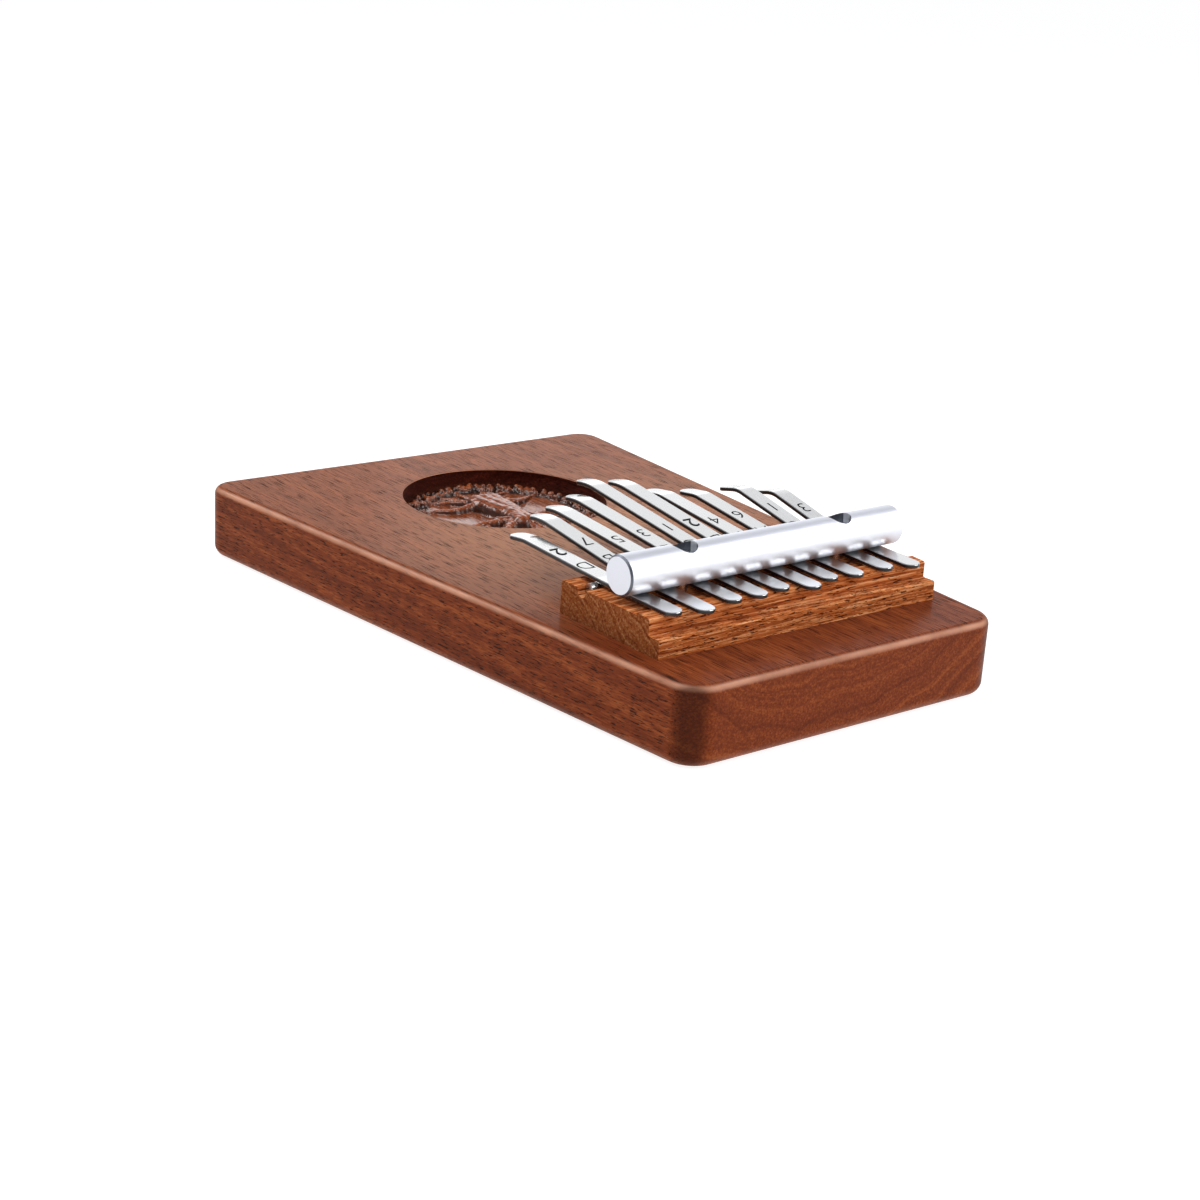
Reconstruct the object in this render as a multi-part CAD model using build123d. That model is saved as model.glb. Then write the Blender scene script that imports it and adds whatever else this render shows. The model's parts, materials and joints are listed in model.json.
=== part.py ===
from build123d import *
import math
import os

os.makedirs("parts", exist_ok=True)

# Frame, in millimetres: origin at the middle of the underside, +Z up, +Y towards the
# bridge, -Y towards the player and the free tine tips, +X to the player's right.

# Board: one solid slab, wider at the player's end, with a carved round pocket.
board_length = 180.0
board_width_player = 128.0
board_width_bridge = 94.5
board_thickness = 19.0
board_corner_radius = 7.0
board_top_round = 2.0
board_bottom_round = 3.0
pocket_radius = 27.0
pocket_depth = 5.0
pocket_end_gap = 47.0
foliage_ring_width = 6.0
foliage_ring_wall_gap = 0.8
foliage_ring_height = 1.6
trunk_length = 36.0
trunk_width_crown = 12.0
trunk_width_waist = 6.5
trunk_height = 2.4

# Bridge block: glued across the board, with a low step along its bridge-end side.
block_end_gap = 17.4
block_width = 85.0
block_depth = 35.0
block_height = 7.9
step_depth = 3.8
step_height = 4.6
block_edge_round = 0.5

# Saddle rod lying in a slot across the block, and the wooden ridge under the tails.
rod_diameter = 3.0
rod_length = 81.0
rod_inset = 7.4
rod_proud = 1.0
rod_groove_clearance = 0.02
ridge_inset = 4.3
ridge_proud = 0.6

# Tines: flat spring-steel strips, pressed on the rod and the ridge by the bar.
tine_width = 4.8
tine_thickness = 1.0
tine_pitch = 7.55
tine_wide_pitch = 9.8
rod_to_tine_gap = 0.05
hinge_gap = 0.1
tine_edge_round = 0.15

# One entry per tine from the player's left to right: how far its tip reaches in front of
# the saddle rod, how steeply it rises, the radius of its bend, the angle and length of the
# straight end after the bend, and how far its tail runs behind that rod.
tine_reach = [29.4, 34.1, 38.1, 42.9, 48.3, 51.5, 46.0, 44.0, 37.1, 34.5]
tine_rise = [13.1, 11.7, 7.2, 5.8, 7.5, 7.3, 5.9, 4.4, 7.6, 2.5]
tine_bend_radius = [8.0, 8.0, 8.0, 8.0, 20.0, 20.0, 20.0, 20.0, 20.0, 8.0]
tine_tip_angle = [-14.0, -13.0, -7.0, -7.0, -9.0, -9.0, -9.0, -9.0, -9.0, -7.0]
tine_end_straight = [6.0, 6.0, 6.0, 6.0, 2.5, 2.5, 2.5, 2.5, 2.5, 6.0]
tine_tail = [27.0, 25.6, 25.8, 25.0, 27.4, 24.9, 26.0, 25.8, 28.0, 25.8]

# Pressure bar and its two clamp screws.
bar_diameter = 9.4
bar_length = 84.0
bar_behind_rod = 11.8
bar_end_chamfer = 0.45
bar_to_tine_gap = 0.05
bar_hole_diameter = 3.3
counterbore_diameter = 6.4
counterbore_floor = 0.5
screw_head_diameter = 5.8
screw_head_height = 2.0
screw_head_round = 0.5
screw_shank_diameter = 2.9
screw_length = 24.0
screw_point_length = 2.5
screw_hole_clearance = 0.06
screw_hole_spare = 1.5
cross_width = 0.9
cross_length = 3.2
cross_depth = 1.1

# Heights and places that follow from the sizes above.
top_z = board_thickness
pocket_centre_y = -board_length / 2 + pocket_end_gap
block_front_y = board_length / 2 - block_end_gap
block_back_y = block_front_y - block_depth
step_y = block_front_y - step_depth
block_top_z = top_z + block_height
rod_radius = rod_diameter / 2
rod_y = block_back_y + rod_inset
rod_z = block_top_z + rod_proud - rod_radius
ridge_y = step_y - ridge_inset
slope = math.atan((rod_proud - ridge_proud) / (ridge_y - rod_y))
ridge_front_z = block_top_z + ridge_proud
ridge_back_z = ridge_front_z - ridge_inset * math.tan(slope)
clamp_slope = math.degrees(slope)
saddle_z = rod_z + rod_radius + rod_to_tine_gap
tine_middle_z = saddle_z + tine_thickness / 2
bar_y = rod_y + bar_behind_rod
bar_z = (
    saddle_z
    - bar_behind_rod * math.tan(slope)
    + (tine_thickness + bar_to_tine_gap + bar_diameter / 2) / math.cos(slope)
)
tine_steps = [tine_pitch, tine_wide_pitch, tine_pitch, tine_pitch, tine_pitch]
tine_steps = tine_steps + [tine_pitch, tine_pitch, tine_wide_pitch, tine_pitch]
tine_x = [-sum(tine_steps) / 2]
for step in tine_steps:
    tine_x.append(tine_x[-1] + step)
screw_x = (tine_x[7] + tine_x[8]) / 2
screw_seat_z = bar_z + counterbore_floor
screw_tip_z = screw_seat_z - screw_length


def board_outline(inset):
    half = board_length / 2 - inset
    wide = board_width_player / 2 - inset
    narrow = board_width_bridge / 2 - inset
    return Polygon((-wide, -half), (wide, -half), (narrow, half), (-narrow, half), align=None)


def screw_holes(diameter, low_z, high_z):
    holes = Cylinder(diameter / 2, high_z - low_z, align=(Align.CENTER, Align.CENTER, Align.MIN))
    return Pos(-screw_x, bar_y, low_z) * holes + Pos(screw_x, bar_y, low_z) * holes


def rod_at(y, z, radius, length):
    return Pos(0, y, z) * Rot(0, 90, 0) * Cylinder(radius, length)


def build_board():
    slab = extrude(board_outline(0), board_thickness)
    slab = fillet(slab.edges().filter_by(Axis.Z), board_corner_radius)
    slab = fillet(slab.faces().sort_by(Axis.Z)[-1].edges(), board_top_round)
    slab = fillet(slab.faces().sort_by(Axis.Z)[0].edges(), board_bottom_round)
    floor_z = top_z - pocket_depth
    centre = Pos(0, pocket_centre_y, floor_z)
    slab -= centre * Cylinder(
        pocket_radius, pocket_depth + 1, align=(Align.CENTER, Align.CENTER, Align.MIN)
    )
    ring_outer = pocket_radius - foliage_ring_wall_gap
    ring = Circle(ring_outer) - Circle(ring_outer - foliage_ring_width)
    slab += centre * extrude(ring, foliage_ring_height)
    half = trunk_length / 2
    crown, waist = trunk_width_crown / 2, trunk_width_waist / 2
    trunk = Polygon(
        (-crown, -half), (crown, -half), (waist, 0), (crown, half), (-crown, half), (-waist, 0),
        align=None,
    )
    slab += centre * extrude(trunk, trunk_height)
    hole = screw_shank_diameter + 2 * screw_hole_clearance
    slab -= screw_holes(hole, screw_tip_z - screw_hole_spare, top_z + 1)
    return slab


def build_block():
    side = Plane.YZ * Polygon(
        (block_back_y, top_z),
        (block_front_y, top_z),
        (block_front_y, top_z + step_height),
        (step_y, top_z + step_height),
        (step_y, ridge_back_z),
        (ridge_y, ridge_front_z),
        (ridge_y, block_top_z),
        (block_back_y, block_top_z),
        align=None,
    )
    block = extrude(side, block_width / 2, both=True)
    long_edges = block.edges().filter_by(Axis.X).filter_by_position(
        Axis.Z, block_top_z - 0.01, ridge_front_z
    ).sort_by(Axis.Y)
    block = fillet([long_edges[0], long_edges[-1]], block_edge_round)
    groove_radius = rod_radius + rod_groove_clearance
    block -= rod_at(rod_y, rod_z, groove_radius, block_width + 2)
    block -= Pos(0, rod_y, rod_z) * Box(
        block_width + 2, 2 * groove_radius, block_height,
        align=(Align.CENTER, Align.CENTER, Align.MIN),
    )
    hole = screw_shank_diameter + 2 * screw_hole_clearance
    block -= screw_holes(hole, top_z - 1, block_top_z + 1)
    return block


def build_bar():
    bar = rod_at(bar_y, bar_z, bar_diameter / 2, bar_length)
    bar = chamfer(bar.edges().filter_by(GeomType.CIRCLE), bar_end_chamfer)
    bar -= screw_holes(bar_hole_diameter, bar_z - bar_diameter, bar_z + bar_diameter)
    bar -= screw_holes(counterbore_diameter, screw_seat_z, bar_z + bar_diameter)
    return bar


def build_screw(x):
    head = Cylinder(
        screw_head_diameter / 2, screw_head_height, align=(Align.CENTER, Align.CENTER, Align.MIN)
    )
    head = fillet(head.edges().sort_by(Axis.Z)[-1], screw_head_round)
    slot = Box(cross_length, cross_width, 2 * cross_depth)
    head -= Pos(0, 0, screw_head_height) * (slot + Rot(0, 0, 90) * slot)
    shank_length = screw_length - screw_point_length
    shank = Cylinder(
        screw_shank_diameter / 2, shank_length, align=(Align.CENTER, Align.CENTER, Align.MAX)
    )
    point = Pos(0, 0, -shank_length) * Cone(
        0.3, screw_shank_diameter / 2, screw_point_length,
        align=(Align.CENTER, Align.CENTER, Align.MAX),
    )
    return Pos(x, bar_y, screw_seat_z) * (head + shank + point)


def build_tine_root(x, tail):
    # Built flat from the hinge at Y = 0, then tipped down towards the tail.
    radius = tine_width / 2
    start = hinge_gap / 2
    length = tail / math.cos(slope)
    plan = Pos((start + length - radius) / 2, 0) * Rectangle(length - radius - start, tine_width)
    plan += Pos(length - radius, 0) * Circle(radius)
    strip = Pos(0, 0, -tine_thickness / 2) * extrude(Rot(0, 0, 90) * plan, tine_thickness)
    strip = chamfer(strip.faces().sort_by(Axis.Z)[-1].edges(), tine_edge_round)
    return Pos(x, rod_y, tine_middle_z) * Rot(-clamp_slope, 0, 0) * strip


def build_tine_tongue(x, reach, rise, bend_radius, tip_angle, end_straight):
    # A side profile along the tine's middle, thickened, then rounded at the tip in plan.
    up, down = math.radians(rise), math.radians(tip_angle)
    bend_run = bend_radius * (math.sin(up) - math.sin(down))
    bend_drop = bend_radius * (math.cos(up) - math.cos(down))
    straight = reach - bend_run - end_straight * math.cos(down)
    knee_z = straight * math.tan(up)
    arc_end = (straight + bend_run, knee_z - bend_drop)
    tip = (reach, arc_end[1] + end_straight * math.sin(down))
    half = tine_thickness / 2

    def beside(point, angle, offset):
        return (-point[0] + offset * math.sin(angle), point[1] + offset * math.cos(angle))

    def arc_middle(offset):
        angle = (up + down) / 2
        centre = (straight + bend_radius * math.sin(up), knee_z - bend_radius * math.cos(up))
        radius = bend_radius + offset
        return (-(centre[0] - radius * math.sin(angle)), centre[1] + radius * math.cos(angle))

    start = hinge_gap / 2
    root = (start, start * math.tan(up))
    knee = (straight, knee_z)
    side = make_face(
        Polyline((-start, root[1] + half / math.cos(up)), beside(knee, up, half))
        + ThreePointArc(beside(knee, up, half), arc_middle(half), beside(arc_end, down, half))
        + Polyline(beside(arc_end, down, half), beside(tip, down, half), beside(tip, down, -half),
                   beside(arc_end, down, -half))
        + ThreePointArc(beside(arc_end, down, -half), arc_middle(-half), beside(knee, up, -half))
        + Polyline(beside(knee, up, -half), (-start, root[1] - half / math.cos(up)),
                   (-start, root[1] + half / math.cos(up)))
    )
    strip = extrude(Plane.YZ * side, tine_width / 2, both=True)
    radius = tine_width / 2
    plan = Pos(0, -(reach - radius) / 2) * Rectangle(tine_width, reach - radius)
    plan += Pos(0, -(reach - radius)) * Circle(radius)
    strip &= Pos(0, 0, -20) * extrude(plan, 60)
    return Pos(x, rod_y, tine_middle_z) * strip


nodes = {
    "board": build_board(),
    "bridge_block": build_block(),
    "saddle_rod": rod_at(rod_y, rod_z, rod_radius, rod_length),
    "pressure_bar": build_bar(),
    "clamp_screw_left": build_screw(-screw_x),
    "clamp_screw_right": build_screw(screw_x),
}
for i in range(10):
    nodes[f"tine_{i + 1}_clamped"] = build_tine_root(tine_x[i], tine_tail[i])
    nodes[f"tine_{i + 1}_tongue"] = build_tine_tongue(
        tine_x[i], tine_reach[i], tine_rise[i],
        tine_bend_radius[i], tine_tip_angle[i], tine_end_straight[i],
    )

for name, shape in nodes.items():
    shape.label = name
    export_step(shape, f"parts/{name}.step")
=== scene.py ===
import json
import math
import random

import bmesh
import bpy
from mathutils import Matrix, Quaternion, Vector, noise


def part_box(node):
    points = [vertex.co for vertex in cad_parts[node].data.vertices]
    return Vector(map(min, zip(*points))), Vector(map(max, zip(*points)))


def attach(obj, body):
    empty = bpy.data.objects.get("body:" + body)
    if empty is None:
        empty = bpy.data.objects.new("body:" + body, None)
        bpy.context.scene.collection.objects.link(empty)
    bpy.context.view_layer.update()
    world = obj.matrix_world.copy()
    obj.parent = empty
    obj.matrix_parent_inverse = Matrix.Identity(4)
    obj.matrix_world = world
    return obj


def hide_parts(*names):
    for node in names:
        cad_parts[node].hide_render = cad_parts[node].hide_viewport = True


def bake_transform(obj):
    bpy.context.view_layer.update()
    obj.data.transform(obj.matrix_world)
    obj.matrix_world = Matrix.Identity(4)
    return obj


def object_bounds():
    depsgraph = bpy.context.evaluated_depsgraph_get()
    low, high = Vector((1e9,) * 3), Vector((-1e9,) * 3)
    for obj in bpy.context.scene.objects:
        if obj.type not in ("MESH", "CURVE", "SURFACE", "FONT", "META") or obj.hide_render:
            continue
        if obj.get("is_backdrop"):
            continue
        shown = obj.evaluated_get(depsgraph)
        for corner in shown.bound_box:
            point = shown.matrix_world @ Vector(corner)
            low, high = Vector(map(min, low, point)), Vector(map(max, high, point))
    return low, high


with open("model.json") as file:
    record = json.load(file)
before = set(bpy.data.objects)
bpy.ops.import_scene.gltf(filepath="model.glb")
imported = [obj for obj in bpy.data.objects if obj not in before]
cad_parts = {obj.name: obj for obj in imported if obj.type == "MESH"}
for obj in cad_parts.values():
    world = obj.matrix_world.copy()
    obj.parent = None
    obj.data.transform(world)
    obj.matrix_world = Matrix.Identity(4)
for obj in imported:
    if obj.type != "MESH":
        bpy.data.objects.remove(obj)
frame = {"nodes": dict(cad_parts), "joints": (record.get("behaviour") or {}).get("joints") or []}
cad_low, cad_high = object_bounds()


# ---------------------------------------------------------------------------------------
# Camera: a three-quarter view from the bridge end, low over the board's long side, with a
# portrait lens. It is rolled a little about its own axis.

view_azimuth = math.radians(140.73)
view_height = math.radians(18.99)
view_roll = math.radians(3.63)
view_distance = 0.5543
view_target = Vector((-0.0095, -0.0120, -0.0019))

view_back = Vector((
    math.sin(view_azimuth) * math.cos(view_height),
    -math.cos(view_azimuth) * math.cos(view_height),
    math.sin(view_height),
))
lens = bpy.data.cameras.new("camera")
lens.lens = 63.67
lens.sensor_width = 36
lens.clip_start = 0.01
camera = bpy.data.objects.new("camera", lens)
camera.rotation_mode = "QUATERNION"
camera.rotation_quaternion = (
    view_back.to_track_quat("Z", "Y") @ Quaternion((0, 0, 1), view_roll)
)
camera.location = view_target + view_back * view_distance
bpy.context.scene.collection.objects.link(camera)
bpy.context.scene.camera = camera


# ---------------------------------------------------------------------------------------
# Floor and light: an opal light table, which glows a little from below, under large
# soft boxes in a dim grey room, so that metal has something dark to mirror.

bpy.context.scene.view_settings.view_transform = "Standard"


def linear(code):
    """A material's colour, given as an sRGB hex code, in the linear values the shaders take."""
    parts = [int(code[i:i + 2], 16) / 255 for i in (1, 3, 5)]
    parts = [p / 12.92 if p <= 0.04045 else ((p + 0.055) / 1.055) ** 2.4 for p in parts]
    return (*parts, 1.0)


def add(tree, kind, inputs=None, **settings):
    """Adds one node; inputs gives each socket a value or the output that feeds it."""
    made = tree.nodes.new(kind)
    for name, value in settings.items():
        setattr(made, name, value)
    for socket, value in (inputs or {}).items():
        if isinstance(value, bpy.types.NodeSocket):
            tree.links.new(value, made.inputs[socket])
        else:
            made.inputs[socket].default_value = value
    return made


def new_piece(name, shape, material, smooth=True):
    """Turns a bmesh into a named object with one material."""
    mesh = bpy.data.meshes.new(name)
    shape.to_mesh(mesh)
    shape.free()
    mesh.polygons.foreach_set("use_smooth", [smooth] * len(mesh.polygons))
    mesh.materials.append(material)
    piece = bpy.data.objects.new(name, mesh)
    bpy.context.scene.collection.objects.link(piece)
    return piece


# Opal acrylic, matt on top and lit from below: a plain white that swallows shadows.
opal = bpy.data.materials.new("opal_acrylic_table")
opal.use_nodes = True
opal_shader = opal.node_tree.nodes["Principled BSDF"]
opal_shader.inputs["Base Color"].default_value = linear("#9a9a9a")
opal_shader.inputs["Roughness"].default_value = 0.9
opal_shader.inputs["Specular IOR Level"].default_value = 0.1
opal_shader.inputs["Emission Color"].default_value = linear("#ffffff")
opal_shader.inputs["Emission Strength"].default_value = 0.87

table = bmesh.new()
bmesh.ops.create_grid(table, x_segments=1, y_segments=1, size=12.0)
floor = new_piece("table_top", table, opal, smooth=False)
floor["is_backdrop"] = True

light_aim = Vector((0, 0, 0.015))


def soft_box(name, place, size, power):
    """A rectangular soft box, this many metres wide and high, turned to the instrument."""
    light = bpy.data.lights.new(name, "AREA")
    light.shape = "RECTANGLE"
    light.size, light.size_y = size
    light.energy = power
    holder = bpy.data.objects.new(name, light)
    holder.location = place
    holder.rotation_mode = "QUATERNION"
    holder.rotation_quaternion = (Vector(place) - light_aim).to_track_quat("Z", "Y")
    holder.visible_camera = False
    bpy.context.scene.collection.objects.link(holder)


soft_box("box_overhead", (0.32, -0.08, 0.95), (0.7, 0.6), 5.4)
soft_box("box_front_right", (-0.78, 0.92, 0.40), (1.0, 0.75), 6.0)
soft_box("box_behind", (-0.66, -0.70, 0.36), (0.90, 0.62), 1.5)
soft_box("card_near", (-0.22, -0.29, 0.13), (0.17, 0.10), 0.04)
soft_box("strip_front", (-0.66, 0.36, 0.80), (0.55, 0.16), 2.6)
soft_box("strip_behind", (0.36, -0.78, 0.64), (0.55, 0.24), 3.0)

room = bpy.data.worlds.new("grey_room")
room.use_nodes = True
walls = room.node_tree.nodes["Background"]
walls.inputs["Color"].default_value = (0.92, 0.93, 1.0, 1.0)
walls.inputs["Strength"].default_value = 0.38
bpy.context.scene.world = room


# ---------------------------------------------------------------------------------------
# Board: one slab of dark oiled walnut, sawn wider at the player's end, its corners and
# rims routed round, with a round pocket cut into the face in front of the tines.

board_length, board_thickness = 0.180, 0.019
board_player_width, board_bridge_width = 0.128, 0.0945
corner_radius, top_round, bottom_round = 0.007, 0.0020, 0.0030
pocket_radius, pocket_depth, pocket_y = 0.027, 0.005, -0.043


def wood(name, along, dark, middle, light, pore, ring_middle, ring_mm, pore_size, rough, gloss,
         end_dark=0.0, relief=0.0001):
    """A sawn hardwood in Object coordinates: growth rings about a far axis that runs along
    the grain, fine fibre, and short open pores drawn out along it. ring_middle, ring_mm and
    pore_size (across, long) are in millimetres, relief is in metres."""
    made = bpy.data.materials.new(name)
    made.use_nodes = True
    tree = made.node_tree
    shader = tree.nodes["Principled BSDF"]
    coordinates = add(tree, "ShaderNodeTexCoord").outputs
    # Millimetres, so that each scale below reads as a real spacing.
    turn = (0, 0, math.radians(90)) if along == "X" else (0, 0, 0)
    millimetres = add(tree, "ShaderNodeMapping", {
        "Vector": coordinates["Object"], "Rotation": turn, "Scale": (1000, 1000, 1000),
    }).outputs["Vector"]

    def drawn(across, length):
        """Coordinates for a pattern this many millimetres across and this long."""
        return add(tree, "ShaderNodeMapping", {
            "Vector": millimetres, "Scale": (1 / across, 1 / length, 1 / across),
        }).outputs["Vector"]

    # Growth rings, wandering as the tree grew.
    wander = add(tree, "ShaderNodeTexNoise", {
        "Vector": drawn(22, 160), "Scale": 1.0, "Detail": 2.0, "Roughness": 0.5,
    }).outputs["Fac"]
    flat = add(tree, "ShaderNodeVectorMath", {0: millimetres, 1: (1, 0.03, 1)},
               operation="MULTIPLY").outputs["Vector"]
    centred = add(tree, "ShaderNodeVectorMath", {0: flat, 1: ring_middle},
                  operation="SUBTRACT").outputs["Vector"]
    radius = add(tree, "ShaderNodeVectorMath", {0: centred}, operation="LENGTH").outputs["Value"]
    wandered = add(tree, "ShaderNodeMath", {0: wander, 1: 14.0, 2: radius},
                   operation="MULTIPLY_ADD").outputs["Value"]
    ring_place = add(tree, "ShaderNodeMath", {0: wandered, 1: 1 / ring_mm},
                     operation="MULTIPLY").outputs["Value"]
    rings = add(tree, "ShaderNodeTexNoise", {
        "W": ring_place, "Scale": 1.0, "Detail": 3.0, "Roughness": 0.65,
    }, noise_dimensions="1D").outputs["Fac"]
    fibre = add(tree, "ShaderNodeTexNoise", {
        "Vector": drawn(0.45, 12), "Scale": 1.0, "Detail": 3.0, "Roughness": 0.65,
    }).outputs["Fac"]
    soft_rings = add(tree, "ShaderNodeMath", {0: rings, 1: 0.60},
                     operation="MULTIPLY").outputs["Value"]
    figure = add(tree, "ShaderNodeMath", {0: fibre, 1: 0.95, 2: soft_rings},
                 operation="MULTIPLY_ADD").outputs["Value"]
    tone = add(tree, "ShaderNodeValToRGB", {"Fac": figure})
    tone.color_ramp.elements[0].position = 0.52
    tone.color_ramp.elements[0].color = linear(dark)
    tone.color_ramp.elements[1].position = 1.06
    tone.color_ramp.elements[1].color = linear(light)
    tone.color_ramp.elements.new(0.78).color = linear(middle)
    # Open pores: short dark dashes along the grain, dots on the end grain.
    pores = add(tree, "ShaderNodeTexNoise", {
        "Vector": drawn(*pore_size), "Scale": 1.0, "Detail": 1.5, "Roughness": 0.5,
    }).outputs["Fac"]
    open_pore = add(tree, "ShaderNodeMapRange", {
        "Value": pores, "From Min": 0.59, "From Max": 0.62,
    }).outputs["Result"]
    # On end grain the pores are filled by the sanding and hardly show.
    facing = add(tree, "ShaderNodeSeparateXYZ", {
        "Vector": coordinates["Normal"],
    }).outputs[along]
    end_grain = add(tree, "ShaderNodeMath", {0: facing}, operation="ABSOLUTE").outputs["Value"]
    shown = add(tree, "ShaderNodeMapRange", {
        "Value": end_grain, "From Min": 0.3, "From Max": 0.9, "To Min": 0.9, "To Max": 0.12,
    }).outputs["Result"]
    open_pore = add(tree, "ShaderNodeMath", {0: open_pore, 1: shown},
                    operation="MULTIPLY").outputs["Value"]
    # Where end grain is left bare it drinks in the finish and darkens.
    soaked = add(tree, "ShaderNodeMapRange", {
        "Value": end_grain, "From Min": 0.5, "From Max": 0.9, "To Min": 0.0, "To Max": end_dark,
    }).outputs["Result"]
    ground = add(tree, "ShaderNodeMix", {
        "Factor": soaked, "A": tone.outputs["Color"], "B": linear(pore),
    }, data_type="RGBA").outputs["Result"]
    colour = add(tree, "ShaderNodeMix", {
        "Factor": open_pore, "A": ground, "B": linear(pore),
    }, data_type="RGBA")
    tree.links.new(colour.outputs["Result"], shader.inputs["Base Color"])
    dullness = add(tree, "ShaderNodeMapRange", {
        "Value": open_pore, "To Min": rough, "To Max": min(1.0, rough + 0.35),
    }).outputs["Result"]
    tree.links.new(dullness, shader.inputs["Roughness"])
    height = add(tree, "ShaderNodeMath", {0: open_pore, 1: -1.6, 2: fibre},
                 operation="MULTIPLY_ADD").outputs["Value"]
    bump = add(tree, "ShaderNodeBump", {
        "Height": height, "Strength": 0.45, "Distance": relief,
    }).outputs["Normal"]
    tree.links.new(bump, shader.inputs["Normal"])
    shader.inputs["IOR"].default_value = 1.5
    # Light that comes back out of the oiled fibres is warm, under a thin clear skin.
    shader.inputs["Specular IOR Level"].default_value = 0.02
    shader.inputs["Specular Tint"].default_value = (1.0, 0.56, 0.34, 1.0)
    shader.inputs["Sheen Weight"].default_value = 0.08
    shader.inputs["Sheen Roughness"].default_value = 0.42
    shader.inputs["Sheen Tint"].default_value = (1.0, 0.60, 0.38, 1.0)
    shader.inputs["Coat Weight"].default_value = gloss
    shader.inputs["Coat Roughness"].default_value = 0.16
    return made


# Walnut with a rubbed oil finish: red-brown stripes, near-black pores, a soft shine.
oiled_walnut = wood(
    "oiled_walnut", "Y", "#552210", "#723114", "#8f4823", "#260b05",
    (9.0, 0.0, 74.0), 3.4, (0.24, 6.5), 0.40, 0.10,
)
board_tree = oiled_walnut.node_tree
board_shader = board_tree.nodes["Principled BSDF"]
board_coordinates = add(board_tree, "ShaderNodeTexCoord").outputs
place = add(board_tree, "ShaderNodeSeparateXYZ", {"Vector": board_coordinates["Object"]}).outputs
turned = add(board_tree, "ShaderNodeSeparateXYZ", {"Vector": board_coordinates["Normal"]}).outputs

# The open face is given a paler tone, most of all round the tine tips and hardly any behind
# the block: a painted sheen, the soft boxes' light mirrored in the oil, fixed to the wood.
# It may be wear or only sheen on new oil, so this is a guess, and it is fixed to the wood.
# It goes under the pores, which stay dark.
pored = board_shader.inputs["Base Color"].links[0].from_node
from_tips = add(board_tree, "ShaderNodeVectorMath", {
    0: board_coordinates["Object"], 1: (-0.008, 0.004, board_thickness),
}, operation="DISTANCE").outputs["Value"]
painted_sheen_falloff = add(board_tree, "ShaderNodeMapRange", {
    "Value": from_tips, "From Min": 0.012, "From Max": 0.078, "To Min": 0.58, "To Max": 0.15,
}, interpolation_type="SMOOTHSTEP").outputs["Result"]
open_face = add(board_tree, "ShaderNodeMapRange", {
    "Value": turned["Z"], "From Min": 0.93, "From Max": 0.999,
}).outputs["Result"]
short_of_block = add(board_tree, "ShaderNodeMapRange", {
    "Value": place["Y"], "From Min": 0.066, "From Max": 0.022, "To Min": 0.06, "To Max": 1.0,
}, interpolation_type="SMOOTHSTEP").outputs["Result"]
sheen_reach = add(board_tree, "ShaderNodeMath", {0: open_face, 1: short_of_block},
                   operation="MULTIPLY").outputs["Value"]
painted_sheen_mask = add(board_tree, "ShaderNodeMath", {0: sheen_reach, 1: painted_sheen_falloff},
              operation="MULTIPLY").outputs["Value"]
# Painted sheen: a tan tone mixed in by that mask.
painted_sheen_tone = add(board_tree, "ShaderNodeMix", {
    "Factor": painted_sheen_mask, "A": pored.inputs["A"].links[0].from_socket, "B": linear("#b3805a"),
}, data_type="RGBA").outputs["Result"]
board_tree.links.new(painted_sheen_tone, pored.inputs["A"])

# The routed rims are given a paler tone in patches, most on their upper half: a painted highlight.
# The routed rims are given a paler tone in patches, as if rubbed: a guess too.
tilt = add(board_tree, "ShaderNodeMath", {0: turned["Z"]}, operation="ABSOLUTE").outputs["Value"]
leaving_side = add(board_tree, "ShaderNodeMapRange", {
    "Value": tilt, "From Min": 0.10, "From Max": 0.66,
}, interpolation_type="SMOOTHSTEP").outputs["Result"]
reaching_top = add(board_tree, "ShaderNodeMapRange", {
    "Value": tilt, "From Min": 0.70, "From Max": 0.99, "To Min": 1.0, "To Max": 0.0,
}, interpolation_type="SMOOTHSTEP").outputs["Result"]
round_over = add(board_tree, "ShaderNodeMath", {0: leaving_side, 1: reaching_top},
                 operation="MULTIPLY").outputs["Value"]
upper_half = add(board_tree, "ShaderNodeMapRange", {
    "Value": place["Z"], "From Min": 0.012, "From Max": 0.0165, "To Min": 0.10, "To Max": 0.76,
}).outputs["Result"]
patches = add(board_tree, "ShaderNodeTexNoise", {
    "Vector": board_coordinates["Object"], "Scale": 42.0, "Detail": 3.0, "Roughness": 0.6,
}).outputs["Fac"]
highlight_breakup = add(board_tree, "ShaderNodeMapRange", {
    "Value": patches, "From Min": 0.34, "From Max": 0.62, "To Min": 0.40,
}).outputs["Result"]
upper_highlight = add(board_tree, "ShaderNodeMath", {0: upper_half, 1: highlight_breakup},
                 operation="MULTIPLY").outputs["Value"]
painted_rim_highlight_mask = add(board_tree, "ShaderNodeMath", {0: round_over, 1: upper_highlight},
             operation="MULTIPLY").outputs["Value"]
# Painted highlight: a pale tone mixed in on the rims.
painted_rim_highlight = add(board_tree, "ShaderNodeMix", {
    "Factor": painted_rim_highlight_mask, "A": pored.outputs["Result"], "B": linear("#d9a184"),
}, data_type="RGBA").outputs["Result"]

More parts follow.
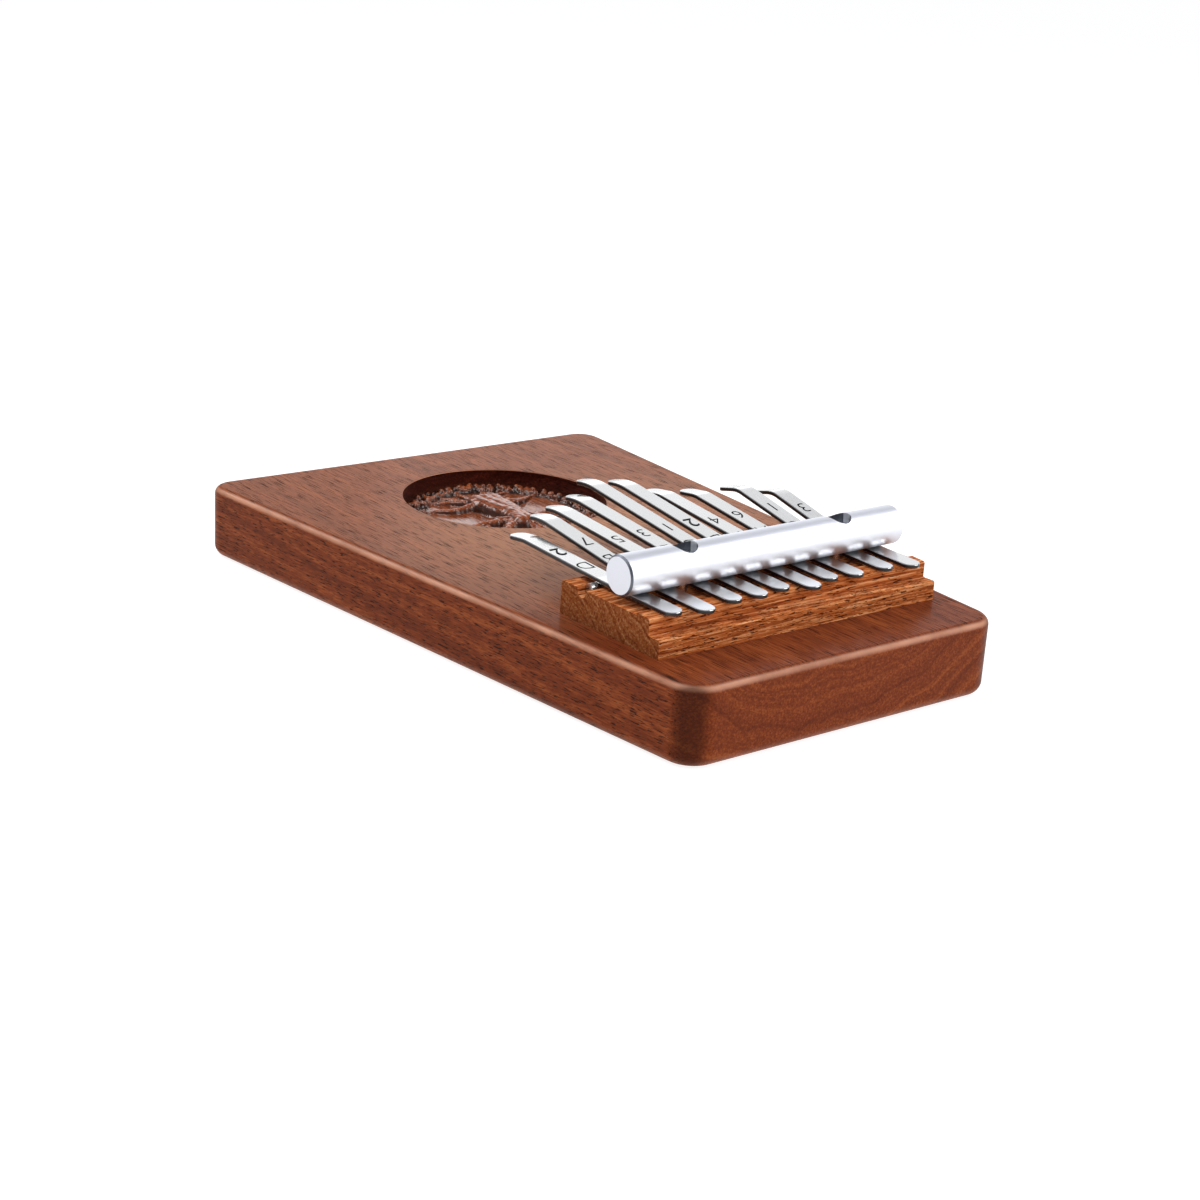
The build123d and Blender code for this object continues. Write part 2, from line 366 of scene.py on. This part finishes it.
# The upright corners are given a darker tone: painted shade where the faces turn from the light.
sideways = add(board_tree, "ShaderNodeMath", {0: turned["X"]},
               operation="ABSOLUTE").outputs["Value"]
endways = add(board_tree, "ShaderNodeMath", {0: turned["Y"]},
              operation="ABSOLUTE").outputs["Value"]
cornered = add(board_tree, "ShaderNodeMath", {0: sideways, 1: endways},
               operation="MINIMUM").outputs["Value"]
corner_painted_shade = add(board_tree, "ShaderNodeMapRange", {
    "Value": cornered, "From Min": 0.12, "From Max": 0.55, "To Max": 0.62,
}, interpolation_type="SMOOTHSTEP").outputs["Result"]
# Painted shade: a near-black tone mixed in at the corners.
shaded_corners = add(board_tree, "ShaderNodeMix", {
    "Factor": corner_painted_shade, "A": painted_rim_highlight, "B": linear("#2a0c05"),
}, data_type="RGBA").outputs["Result"]
board_tree.links.new(shaded_corners, board_shader.inputs["Base Color"])

# The pocket's wall is the same wood, painted nearly black-red and dull: painted shade in the
# pocket.
walnut_painted_shade = wood(
    "walnut_painted_shade", "Y", "#200804", "#34100a", "#4c1d12", "#120402",
    (9.0, 0.0, 74.0), 3.4, (0.30, 4.6), 0.60, 0.0,
)

slab = bmesh.new()
bmesh.ops.create_cube(slab, size=1.0)
for corner in slab.verts:
    side, end, up = corner.co
    width = board_player_width if end < 0 else board_bridge_width
    corner.co = (side * width, end * board_length, (up + 0.5) * board_thickness)
uprights = [e for e in slab.edges if abs(e.verts[0].co.z - e.verts[1].co.z) > 0.01]
bmesh.ops.bevel(slab, geom=uprights, offset=corner_radius, offset_type="OFFSET", segments=14,
                profile=0.5, affect="EDGES", material=-1)
for height, amount in ((board_thickness, top_round), (0.0, bottom_round)):
    rim = [e for e in slab.edges if all(abs(v.co.z - height) < 1e-6 for v in e.verts)]
    bmesh.ops.bevel(slab, geom=rim, offset=amount, offset_type="OFFSET", segments=8,
                    profile=0.5, affect="EDGES", material=-1)
top = max(slab.faces, key=lambda f: (round(f.calc_center_median().z, 6), f.calc_area()))
top_rim = list(top.edges)
bmesh.ops.delete(slab, geom=[top], context="FACES_ONLY")
ring = bmesh.ops.create_circle(slab, segments=128, radius=pocket_radius + 0.0004)["verts"]
bmesh.ops.translate(slab, verts=ring, vec=(0, pocket_y, board_thickness))
loop = list({e for v in ring for e in v.link_edges})
bmesh.ops.triangle_fill(slab, edges=top_rim + loop, use_beauty=True, use_dissolve=False)
# The pocket's lip is broken with sandpaper, then its wall drops straight to the floor.
lip = ((0.00024, 0.00005), (0.00010, 0.00016), (0.0, 0.0004))
for radius, depth in (*lip, (0.0, pocket_depth)):
    made = bmesh.ops.extrude_edge_only(slab, edges=loop)["geom"]
    loop = [g for g in made if isinstance(g, bmesh.types.BMEdge)]
    for v in (g for g in made if isinstance(g, bmesh.types.BMVert)):
        out = (v.co - Vector((0, pocket_y, v.co.z))).normalized()
        v.co = Vector((0, pocket_y, board_thickness - depth)) + out * (pocket_radius + radius)
bmesh.ops.contextual_create(slab, geom=loop)
bmesh.ops.recalc_face_normals(slab, faces=slab.faces)
# The wall's faces take the walnut painted in shade.
for f in slab.faces:
    middle = f.calc_center_median()
    off = math.hypot(middle.x, middle.y - pocket_y)
    if off < pocket_radius + 0.00005 and middle.z < board_thickness - 0.0002:
        f.material_index = 1
# The solid's box is sampled more coarsely at the round corners; the slab stays inside it.
for v in slab.verts:
    v.co.x = max(cad_low[0], min(cad_high[0], v.co.x))
board = new_piece("board_slab", slab, oiled_walnut)
board.data.materials.append(walnut_painted_shade)
even = board.modifiers.new("even shading", "WEIGHTED_NORMAL")
even.mode = "FACE_AREA"
even.weight = 100
even.keep_sharp = False
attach(board, "body")
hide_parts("board")


# ---------------------------------------------------------------------------------------
# Carved tree: relief cut into the floor of the pocket from the same wood, a plain tree with
# a twisted trunk, roots at one end, boughs at the other, and a wreath of small leaves.

floor_z = board_thickness - pocket_depth


def crooked(start, end, bends, sway, seed):
    """Points of a bough between two places, bent sideways like grown wood."""
    chance = random.Random(seed)
    start, end = Vector(start), Vector(end)
    side = Vector((-(end - start).y, (end - start).x)).normalized()
    points = []
    for i in range(bends + 1):
        t = i / bends
        bow = math.sin(t * math.pi) * sway
        bow += math.sin(t * 2 * math.pi) * sway * chance.uniform(-0.5, 0.5)
        points.append(start.lerp(end, t) + side * bow)
    return points


# Each limb: its points in millimetres from the pocket's middle, and its radius at each end.
limbs = []
# Three stems twisted together make the trunk.
for seed, (foot, head, sway) in enumerate((
    (-2.6, 2.2, 1.5), (2.4, -2.4, -1.5), (0.0, 0.2, 0.8),
)):
    limbs.append((crooked((foot, -9.5), (head, 11.0), 12, sway, seed), 3.1, 3.1))
# Boughs, each with one twig beside its end.
for seed, (x, y, sway) in enumerate((
    (-18.6, 9.5, 2.0), (-14.4, 14.4, -1.8), (-9.0, 18.2, 1.6), (-3.0, 20.6, -1.3),
    (3.6, 20.8, 1.4), (9.6, 18.4, -1.7), (15.0, 14.2, 1.9), (18.8, 9.0, -2.0),
)):
    limbs.append((crooked((x * 0.16, 8.0), (x, y), 10, sway, 20 + seed), 1.9, 0.8))
    twig = crooked((x * 0.60, y * 0.60 + 3.2), (x * 0.90 + 2.4, y * 0.92 + 1.6), 6, 0.7, 40 + seed)
    limbs.append((twig, 1.0, 0.6))
# Roots.
for seed, (x, y, sway) in enumerate((
    (-18.2, -11.0, -2.0), (-13.0, -16.4, 1.8), (-6.4, -20.0, -1.3), (0.4, -21.0, 1.1),
    (7.0, -19.8, 1.4), (13.2, -16.2, -1.8), (18.4, -10.4, 2.0),
)):
    limbs.append((crooked((x * 0.18, -7.5), (x, y), 10, sway, 60 + seed), 1.8, 0.6))

strokes = []
for points, thick, thin in limbs:
    for i in range(len(points) - 1):
        share = i / (len(points) - 2)
        strokes.append((points[i], points[i + 1], thick + (thin - thick) * share))


def limb_height(x, y):
    """Height of the highest limb over a place, as a rounded ridge."""
    place, best = Vector((x, y)), 0.0
    for start, end, radius in strokes:
        if abs(start.x - x) > 5 or abs(start.y - y) > 5:
            continue
        along = end - start
        t = max(0.0, min(1.0, (place - start).dot(along) / along.length_squared))
        away = (place - start - along * t).length
        if away < radius:
            fullness = 1.10 if radius > 3 else 1.25
            best = max(best, math.sqrt(radius * radius - away * away) * fullness)
    return best


def leaf_height(x, y):
    """Height of the wreath of leaves: rounded scales a millimetre or two across with deep
    cuts between them, in a band beside the pocket's wall."""
    out = math.hypot(x, y)
    inner = 20.6 + 1.5 * noise.noise((x * 0.22, y * 0.22, 3.0))
    band = max(0.0, min(1.0, (out - inner) / 0.9)) * max(0.0, min(1.0, (26.6 - out) / 0.7))
    if band <= 0:
        return 0.0
    near = noise.voronoi((x * 0.50, y * 0.50, 0.0))[0][0]
    scale = math.sqrt(max(0.0, 1.0 - (near / 0.58) ** 2))
    lean = 0.5 + 0.5 * noise.noise((x * 0.5, y * 0.5, 9.0))
    return band * (0.10 + scale * (0.9 + 1.0 * lean))


carving = bmesh.new()
rim = bmesh.ops.create_circle(carving, segments=560, radius=pocket_radius - 0.0001)["verts"]
loop = list({e for v in rim for e in v.link_edges})
rings = 100
for left in range(rings - 1, 0, -1):
    made = bmesh.ops.extrude_edge_only(carving, edges=loop)["geom"]
    loop = [g for g in made if isinstance(g, bmesh.types.BMEdge)]
    inner = [g for g in made if isinstance(g, bmesh.types.BMVert)]
    bmesh.ops.scale(carving, vec=(left / (left + 1), left / (left + 1), 1), verts=inner)
bmesh.ops.contextual_create(carving, geom=loop)
for v in carving.verts:
    x, y = v.co.x * 1000, v.co.y * 1000
    tooling = 0.035 * noise.noise((x * 2.4, y * 0.18, 5.0))
    limb = limb_height(x, y)
    if limb > 0:
        limb += 0.10 * noise.noise((x * 1.6, y * 0.7, 1.0)) * min(1.0, limb)
    rise = max(limb, leaf_height(x, y), 0.06 + tooling)
    v.co = Vector((v.co.x, v.co.y + pocket_y, floor_z + rise / 1000))
bmesh.ops.recalc_face_normals(carving, faces=carving.faces)

# The same walnut, burnished to a gloss, with painted shade near black in the cuts.
carved_walnut = wood(
    "carved_walnut", "Y", "#66280f", "#85401c", "#a85a30", "#300e04",
    (9.0, 0.0, 74.0), 3.4, (0.30, 4.6), 0.22, 0.80,
)
carved_nodes = carved_walnut.node_tree
carved_shader = carved_nodes.nodes["Principled BSDF"]
carved_coordinates = add(carved_nodes, "ShaderNodeTexCoord").outputs
above = add(carved_nodes, "ShaderNodeSeparateXYZ", {
    "Vector": carved_coordinates["Object"],
}).outputs["Z"]
from_middle = add(carved_nodes, "ShaderNodeVectorMath", {
    0: carved_coordinates["Object"], 1: (0, pocket_y, floor_z),
}, operation="DISTANCE").outputs["Value"]
# Painted shade: the wreath's cuts are painted darkest; the plain ground beside the trunk keeps its
# colour.
wreath = add(carved_nodes, "ShaderNodeMapRange", {
    "Value": from_middle, "From Min": 0.0195, "From Max": 0.0212, "To Min": 0.10,
}).outputs["Result"]
deep = add(carved_nodes, "ShaderNodeMapRange", {
    "Value": above, "From Min": floor_z + 0.0003, "From Max": floor_z + 0.0013,
    "To Min": 1.0, "To Max": 0.0,
}).outputs["Result"]
low = add(carved_nodes, "ShaderNodeMath", {0: deep, 1: wreath},
          operation="MULTIPLY").outputs["Value"]
# The gouge cuts that outline every limb and leaf get painted shade on their steep sides.
upright = add(carved_nodes, "ShaderNodeSeparateXYZ", {
    "Vector": carved_coordinates["Normal"],
}).outputs["Z"]
steep_side_shade = add(carved_nodes, "ShaderNodeMapRange", {
    "Value": upright, "From Min": 0.86, "From Max": 0.45, "To Max": 0.85,
}).outputs["Result"]
painted_shade_mask = add(carved_nodes, "ShaderNodeMath", {0: low, 1: steep_side_shade},
            operation="MAXIMUM").outputs["Value"]
# Painted shade: a near-black tone mixed in where the mask is high.
painted_shade_tone = add(carved_nodes, "ShaderNodeMix", {
    "Factor": painted_shade_mask, "A": carved_shader.inputs["Base Color"].links[0].from_socket,
    "B": linear("#1c0603"),
}, data_type="RGBA").outputs["Result"]
carved_nodes.links.new(painted_shade_tone, carved_shader.inputs["Base Color"])
carved = new_piece("carved_tree", carving, carved_walnut)
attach(carved, "body")


# ---------------------------------------------------------------------------------------
# Bridge block: a bar of open-pored mahogany glued across the board. It is planed on top,
# slotted for the saddle rod, left with a low ridge under the tails, and sawn rough below.

# Mahogany left unfilled: orange-brown, long dark pores, dull with a dry bloom.
open_mahogany = wood(
    "open_mahogany", "X", "#722b11", "#bf6934", "#f0ae78", "#330f05",
    (0.0, 4.0, -60.0), 0.9, (0.26, 2.4), 0.62, 0.0, end_dark=0.55, relief=0.0003,
)
block_low, block_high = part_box("bridge_block")
rod_low, rod_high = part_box("saddle_rod")
rod_y, rod_radius = (rod_low.y + rod_high.y) / 2, (rod_high.z - rod_low.z) / 2
rod_z = (rod_low.z + rod_high.z) / 2
block_top = board_thickness + 0.0079
step_y, step_z = block_high.y - 0.0038, board_thickness + 0.0046
ridge_y = step_y - 0.0043
slot_radius = rod_radius + 0.00002

# The block's end, corner by corner from the back foot, each run cut fine enough to wear.
corners = [(block_low.y, board_thickness), (block_low.y, block_top - 0.0004),
           (block_low.y + 0.0004, block_top), (rod_y - slot_radius, block_top)]
corners += [(rod_y - math.cos(math.radians(a)) * slot_radius,
             rod_z - math.sin(math.radians(a)) * slot_radius) for a in range(0, 181, 12)]
corners += [(rod_y + slot_radius, block_top), (ridge_y, block_top),
            (ridge_y, block_high.z), (step_y - 0.0004, block_high.z - 0.0002),
            (step_y, block_high.z - 0.0006), (step_y, step_z), (block_high.y - 0.0002, step_z),
            (block_high.y, step_z - 0.0002), (block_high.y, board_thickness)]
outline = []
for here, there in zip(corners, corners[1:]):
    here, there = Vector(here), Vector(there)
    if (there - here).length < 1e-7:
        continue
    parts = max(1, round((there - here).length / 0.0004))
    outline += [here.lerp(there, i / parts) for i in range(parts)]
outline.append(Vector(corners[-1]))

hewn = bmesh.new()
verts = [hewn.verts.new((block_low.x, y, z)) for y, z in outline]
loop = [hewn.edges.new((verts[i], verts[(i + 1) % len(verts)])) for i in range(len(verts))]
bmesh.ops.contextual_create(hewn, geom=loop)
slices = 210
for i in range(slices):
    made = bmesh.ops.extrude_edge_only(hewn, edges=loop)["geom"]
    loop = [g for g in made if isinstance(g, bmesh.types.BMEdge)]
    bmesh.ops.translate(hewn, vec=((block_high.x - block_low.x) / slices, 0, 0),
                        verts=[g for g in made if isinstance(g, bmesh.types.BMVert)])
bmesh.ops.contextual_create(hewn, geom=loop)
# Torn grain: the sawn step is ragged, the faces above it only a little, the foot is flat.
# The depths and the noise's places are in millimetres.
for v in hewn.verts:
    x, y, z = v.co.x * 1000, v.co.y * 1000, v.co.z * 1000
    if v.co.y < ridge_y + 0.001 or z < 19.15:
        continue
    ragged = 0.42 if v.co.y > step_y + 0.0002 else 0.14
    torn = abs(noise.noise((x * 0.55, y * 2.2, z * 1.9)))
    torn += 0.5 * abs(noise.noise((x * 1.6, y * 4, z * 4)))
    fine = noise.noise((x * 2.5, y * 3.0, z * 5.0))
    back = ragged * (0.55 * torn + 0.18 * (fine + 1)) / 1000
    if v.co.y > block_high.y - 0.0003:
        v.co.y -= back
        if z > 23.2:
            v.co.z -= back * 1.2
    elif v.co.y > step_y + 0.0002:
        v.co.z -= back
    elif v.co.y > step_y - 0.0002:
        v.co.y -= back
bmesh.ops.recalc_face_normals(hewn, faces=hewn.faces)
for e in hewn.edges:
    e.smooth = e.calc_face_angle(3.0) < math.radians(40)
block = new_piece("mahogany_block", hewn, open_mahogany)
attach(block, "body")
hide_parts("bridge_block")


# ---------------------------------------------------------------------------------------
# Saddle rod: a length of bright drawn steel wire, dropped in its slot, that all the tines
# are bent over.

def metal(name, colour, rough, streak_mm, depth, along="X"):
    """A bare metal in Object coordinates, with the fine streaks that working it left: this
    many millimetres across, 40 times as long, this strong in relief."""
    made = bpy.data.materials.new(name)
    made.use_nodes = True
    tree = made.node_tree
    shader = tree.nodes["Principled BSDF"]
    shader.inputs["Metallic"].default_value = 1.0
    shader.inputs["Base Color"].default_value = linear(colour)
    across, length = 1000 / streak_mm, 1000 / (streak_mm * 40)
    scale = (length, across, across) if along == "X" else (across, length, across)
    place = add(tree, "ShaderNodeTexCoord").outputs["Object"]
    drawn = add(tree, "ShaderNodeMapping", {"Vector": place, "Scale": scale}).outputs["Vector"]
    streaks = add(tree, "ShaderNodeTexNoise", {
        "Vector": drawn, "Scale": 1.0, "Detail": 3.0, "Roughness": 0.6,
    }).outputs["Fac"]
    gloss = add(tree, "ShaderNodeMapRange", {
        "Value": streaks, "From Min": 0.3, "From Max": 0.7,
        "To Min": rough * 0.8, "To Max": rough * 1.25,
    }).outputs["Result"]
    tree.links.new(gloss, shader.inputs["Roughness"])
    bump = add(tree, "ShaderNodeBump", {
        "Height": streaks, "Strength": depth, "Distance": 0.00002,
    }).outputs["Normal"]
    tree.links.new(bump, shader.inputs["Normal"])
    return made


# Drawn steel wire: bright, a little dull from the die, with scratches along it.
drawn_steel = metal("drawn_steel_wire", "#b9b7b4", 0.22, 0.12, 0.2)


def rounded_copy(name, node, material, sharp_degrees):
    """The node's own shape with its triangles joined, so that round faces shade as round."""
    shape = bmesh.new()
    shape.from_mesh(frame["nodes"][node].data)
    bmesh.ops.remove_doubles(shape, verts=shape.verts, dist=1e-7)
    bmesh.ops.dissolve_limit(shape, angle_limit=math.radians(0.5), verts=shape.verts,
                             edges=shape.edges)
    for e in shape.edges:
        e.smooth = e.calc_face_angle(3.0) < math.radians(sharp_degrees)
    return new_piece(name, shape, material)


rod = rounded_copy("saddle_wire", "saddle_rod", drawn_steel, 30)
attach(rod, "body")
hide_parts("saddle_rod")


# ---------------------------------------------------------------------------------------
# Tines: ten strips of polished spring steel, round at both ends, bent down at the playing
# end and stamped with the note's number and letter. Each is one strip from tip to tail.

tine_width, tine_thickness, edge_break = 0.0048, 0.0010, 0.00016
# For tines 1 to 10: the slope up from the saddle rod and at the tip, in degrees, and the
# bend's radius and the straight end in front of it, in metres.
tine_rises = (13.1, 11.7, 7.2, 5.8, 7.5, 7.3, 5.9, 4.4, 7.6, 2.5)
bend_radii = (0.008, 0.008, 0.008, 0.008, 0.02, 0.02, 0.02, 0.02, 0.02, 0.008)
tip_angles = (-14, -13, -7, -7, -9, -9, -9, -9, -9, -7)
end_straights = (0.006, 0.006, 0.006, 0.006, 0.0025, 0.0025, 0.0025, 0.0025, 0.0025, 0.006)
tine_marks = ("3E", "1C", "6A", "4F", "2D", "1C", "3E", "5G", "7B", "2D")
mark_size, mark_spacing, mark_depth = 0.0060, 0.0098, 0.00012
# Over the saddle rod the strip changes slope within this far either side, and is blended
# from its clamped part to its tongue within the second length.
crook, root = 0.0008, 0.0006

# Polished spring steel: nearly a mirror, with faint grinding lines along the strip.
polished_steel = metal("polished_spring_steel", "#cdcecd", 0.15, 0.25, 0.12, along="Y")
# Stamped marks: grey-black steel in the bottom of each stroke, painted shade for the narrow
# strokes.
stroke_painted_shade_steel = metal("struck_steel_painted_shade", "#26282b", 0.6, 0.1, 0.1)
# Sheared edges: the strip's sides keep the dark, duller skin of the rolled and cut steel.
sheared_steel = metal("sheared_steel_edge", "#43403f", 0.38, 0.15, 0.2, along="Y")


def stamp(character, along):
    """A cutter in the form of one stamped character, centred this far along the blank."""
    letters = bpy.data.curves.new("stamp", "FONT")
    letters.body = character
    letters.size = mark_size
    letters.align_x = "CENTER"
    letters.align_y = "CENTER"
    letters.extrude = mark_depth
    letters.resolution_u = 3
    letters.offset = -0.00004
    held = bpy.data.objects.new("stamp", letters)
    bpy.context.scene.collection.objects.link(held)
    bpy.context.view_layer.update()
    mesh = bpy.data.meshes.new_from_object(held)
    bpy.data.objects.remove(held)
    mesh.transform(Matrix.Translation((0, along, tine_thickness / 2)))
    mesh.materials.clear()
    mesh.materials.append(polished_steel)
    mesh.materials.append(stroke_painted_shade_steel)
    mesh.polygons.foreach_set("material_index", [1] * len(mesh.polygons))
    cutter = bpy.data.objects.new("stamp", mesh)
    bpy.context.scene.collection.objects.link(cutter)
    return cutter


for number in range(1, 11):
    rise = math.radians(tine_rises[number - 1])
    pluck = next(j for j in frame["joints"] if j["name"] == f"tine_{number}_pluck")
    tune = next(j for j in frame["joints"] if j["name"] == f"tine_{number}_tune")
    hinge = Vector(pluck["pos_m"])
    slope = math.atan2(-tune["axis"][2], tune["axis"][1])
    tip_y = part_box(f"tine_{number}_tongue")[0].y
    tail_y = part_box(f"tine_{number}_clamped")[1].y
    reach, tail = hinge.y - tip_y, (tail_y - hinge.y) / math.cos(slope)
    bend_radius, end_straight = bend_radii[number - 1], end_straights[number - 1]
    tip_angle = math.radians(tip_angles[number - 1])
    bend_run = bend_radius * (math.sin(rise) - math.sin(tip_angle))
    straight = (reach - bend_run - end_straight * math.cos(tip_angle)) / math.cos(rise)
    bend = bend_radius * (rise - tip_angle)
    length = straight + bend + end_straight

    # The flat blank: a round-ended strip with its edges broken, cut across where it bends.
    blank = bmesh.new()
    bmesh.ops.create_cube(blank, size=1.0)
    bmesh.ops.scale(blank, vec=(tine_width, length + tail, tine_thickness), verts=blank.verts)
    bmesh.ops.translate(blank, vec=(0, (tail - length) / 2, 0), verts=blank.verts)
    ends = [e for e in blank.edges if abs(e.verts[0].co.z - e.verts[1].co.z) > 0.0005]
    bmesh.ops.bevel(blank, geom=ends, offset=tine_width * 0.4995, offset_type="OFFSET",
                    segments=12, profile=0.5, affect="EDGES", material=-1)
    faces = [f for f in blank.faces if abs(f.normal.z) > 0.9]
    edges = list({e for f in faces for e in f.edges})
    bmesh.ops.bevel(blank, geom=edges, offset=edge_break, offset_type="OFFSET", segments=2,
                    profile=0.5, affect="EDGES", material=-1)
    stations = [crook * (i / 4 - 1) for i in range(9)]
    stations += [-(straight - 0.001) - (bend + 0.002) * i / 12 for i in range(13)]
    for y in stations:
        everything = list(blank.verts) + list(blank.edges) + list(blank.faces)
        bmesh.ops.bisect_plane(blank, geom=everything, plane_co=(0, y, 0),
                               plane_no=(0, 1, 0), dist=1e-7)
    for f in blank.faces:
        f.material_index = 2 if abs(f.normal.z) < 0.2 else 0
    strip = new_piece(f"tine_{number}", blank, polished_steel)
    strip.data.materials.append(stroke_painted_shade_steel)
    strip.data.materials.append(sheared_steel)

    # The two characters are struck into the straight stretch between bar and bend.
    digit_y = -min(0.0175, straight * 0.64)
    digit, letter = tine_marks[number - 1]
    cutters = [stamp(digit, digit_y), stamp(letter, digit_y + mark_spacing)]
    for cutter in cutters:
        cut = strip.modifiers.new("stamp", "BOOLEAN")
        cut.operation = "DIFFERENCE"
        cut.solver = "EXACT"
        cut.object = cutter
    bpy.context.view_layer.update()
    struck = bpy.data.meshes.new_from_object(
        strip.evaluated_get(bpy.context.evaluated_depsgraph_get()))
    strip.modifiers.clear()
    for cutter in cutters:
        bpy.data.objects.remove(cutter)
    # The flat faces stay flat to the eye: their borders are kept crisp.
    flat = bmesh.new()
    flat.from_mesh(struck)
    for e in flat.edges:
        e.smooth = e.calc_face_angle(3.0) < math.radians(12)
    flat.to_mesh(struck)
    flat.free()
    strip.data = struck

    # Bent on its line: level with the clamp line behind the rod, rising in front of it,
    # and curling down to the tip.
    steps = 400
    path, y, z = [], 0.0, 0.0
    step = length / steps
    for i in range(steps + 1):
        s = i * step
        if s < crook:
            angle = slope + (rise - slope) * (0.5 + 0.5 * s / crook)
        elif s < straight:
            angle = rise
        elif s < straight + bend:
            angle = rise + (tip_angle - rise) * (s - straight) / bend
        else:
            angle = tip_angle
        path.append((y, z, angle))
        y, z = y - math.cos(angle) * step, z + math.sin(angle) * step
    for v in strip.data.vertices:
        s, up = -v.co.y, v.co.z
        if s <= 0:
            angle = slope + (rise - slope) * max(0.0, 0.5 + 0.5 * s / crook)
            base_y, base_z = -s * math.cos(slope), s * math.sin(slope)
        else:
            at = min(s / step, steps - 1e-6)
            (y0, z0, a0), (y1, z1, a1) = path[int(at)], path[int(at) + 1]
            share = at - int(at)
            base_y, base_z = y0 + (y1 - y0) * share, z0 + (z1 - z0) * share
            angle = a0 + (a1 - a0) * share
        v.co = hinge + Vector((
            v.co.x, base_y + up * math.sin(angle), base_z + up * math.cos(angle),
        ))
    strip.data.polygons.foreach_set("use_smooth", [True] * len(strip.data.polygons))
    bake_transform(strip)
    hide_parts(f"tine_{number}_clamped", f"tine_{number}_tongue")


# ---------------------------------------------------------------------------------------
# Pressure bar: turned aluminium rod, its ends faced and chamfered, drilled and counterbored
# for the two clamp screws that pull it down on the tines.

# Turned aluminium: a satin skin that blurs what it mirrors, with fine lathe marks.
turned_aluminium = metal("turned_aluminium", "#e2e4eb", 0.48, 0.10, 0.10)
# Chamfers and counterbores were cut, not polished; their grey is painted shade.
cut_aluminium_painted_shade = metal("cut_aluminium_painted_shade", "#6d7078", 0.42, 0.10, 0.3)
bar = rounded_copy("pressure_bar_rod", "pressure_bar", turned_aluminium, 28)
bar.data.materials.append(cut_aluminium_painted_shade)
bar_low, bar_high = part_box("pressure_bar")
bar_y, bar_z = (bar_low.y + bar_high.y) / 2, (bar_low.z + bar_high.z) / 2
for face in bar.data.polygons:
    out = Vector((0, face.center.y - bar_y, face.center.z - bar_z))
    inside = out.length < (bar_high.z - bar_low.z) / 2 - 0.0001 and abs(face.normal.x) < 0.95
    sloped = 0.3 < abs(face.normal.x) < 0.95 and max(
        face.center.x - bar_low.x, bar_high.x - face.center.x) > bar_high.x - bar_low.x - 0.001
    if sloped or (inside and abs(face.center.x) < bar_high.x - 0.002):
        face.material_index = 1
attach(bar, "bar")
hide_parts("pressure_bar")


# ---------------------------------------------------------------------------------------
# Clamp screws: two cross-recessed steel screws sunk in the bar's counterbores, threaded
# into the block and board.

# Bright zinc plating on steel: cool and clean, a little uneven.
zinc_steel = metal("bright_zinc_screw", "#c9ccd0", 0.25, 0.15, 0.2)
for side in ("left", "right"):
    screw = rounded_copy(f"{side}_clamp_screw", f"clamp_screw_{side}", zinc_steel, 28)
    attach(screw, f"screw_{side}")
    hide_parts(f"clamp_screw_{side}")


low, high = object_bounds()
